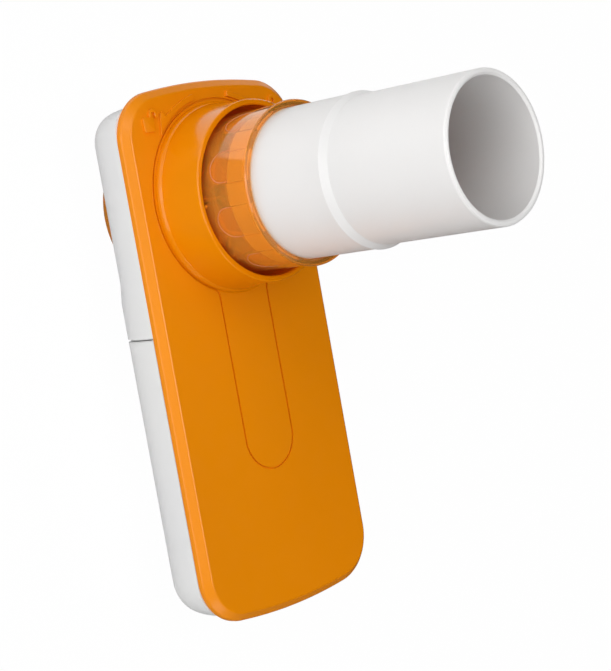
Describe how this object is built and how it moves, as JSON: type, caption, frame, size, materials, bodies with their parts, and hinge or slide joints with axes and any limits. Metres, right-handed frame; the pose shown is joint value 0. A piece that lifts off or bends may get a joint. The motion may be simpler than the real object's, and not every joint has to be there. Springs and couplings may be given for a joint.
{
  "type": "pocket spirometer",
  "caption": "Pocket spirometer: flat two-colour body with a collar for a removable clear turbine, a round mouthpiece tube and a sliding battery cover.",
  "frame": {"origin": "middle of the body's width and length, on the surface that the back lies on", "axes": "+Z out of the front face along the turbine and mouthpiece axis, +Y along the body towards the turbine end, +X across the width"},
  "size_m": [0.049, 0.109, 0.0894],
  "materials": {
    "cover_plastic": "glossy moulded orange plastic",
    "shell_plastic": "satin moulded white plastic",
    "turbine_plastic": "clear amber plastic, polished",
    "swirler_plastic": "clear amber plastic, polished",
    "mouthpiece_plastic": "satin white plastic",
    "frame_plastic": "dark moulded plastic",
    "foam": "dark closed-cell foam",
    "jewel": "polished bearing jewel",
    "steel": "bright steel",
    "vane_plastic": "thin black plastic sheet",
    "circuit_board": "green solder mask",
    "chip_resin": "black moulding resin",
    "ceramic": "fired tan ceramic",
    "sensor_resin": "dark infrared resin",
    "flex_film": "amber film",
    "battery_sleeve": "dark shrink sleeve over a metal can"
  },
  "bodies": {
    "housing": {"front_cover": "cover_plastic", "rear_shell": "shell_plastic", "battery_tray": "frame_plastic", "turbine_seat": "frame_plastic", "seat_gasket": "foam", "main_board": "circuit_board", "processor_chip": "chip_resin", "radio_module": "steel", "board_parts": "ceramic", "ir_emitters": "sensor_resin", "ir_receivers": "sensor_resin", "emitter_board": "circuit_board", "receiver_board": "circuit_board", "flex_cable": "flex_film", "battery_left": "battery_sleeve", "battery_right": "battery_sleeve", "battery_springs": "steel", "contact_link": "steel", "battery_terminals": "steel", "case_screws": "steel"},
    "turbine": {"turbine_body": "turbine_plastic", "front_swirler": "swirler_plastic", "rear_swirler": "swirler_plastic", "front_pivot_cup": "jewel", "rear_pivot_cup": "jewel"},
    "rotor": {"rotor_shaft": "steel", "rotor_vane": "vane_plastic"},
    "mouthpiece": {"mouthpiece": "mouthpiece_plastic"},
    "battery_cover": {"battery_cover": "shell_plastic", "cover_pad": "foam"}
  },
  "joints": [
    {"name": "turbine_lock", "type": "hinge", "parent": "housing", "child": "turbine", "pos_m": [0, 0.0305, 0.011], "axis": [0, 0, 1], "range_deg": [0, 50]},
    {"name": "rotor_spin", "type": "hinge", "parent": "turbine", "child": "rotor", "pos_m": [0, 0.0305, 0.0141], "axis": [0, 0, 1], "continuous": true},
    {"name": "mouthpiece_pull", "type": "slide", "parent": "turbine", "child": "mouthpiece", "axis": [0, 0, 1], "range_m": [0, 0.012]},
    {"name": "battery_cover_slide", "type": "slide", "parent": "housing", "child": "battery_cover", "axis": [0, -1, 0], "range_m": [0, 0.06]}
  ]
}
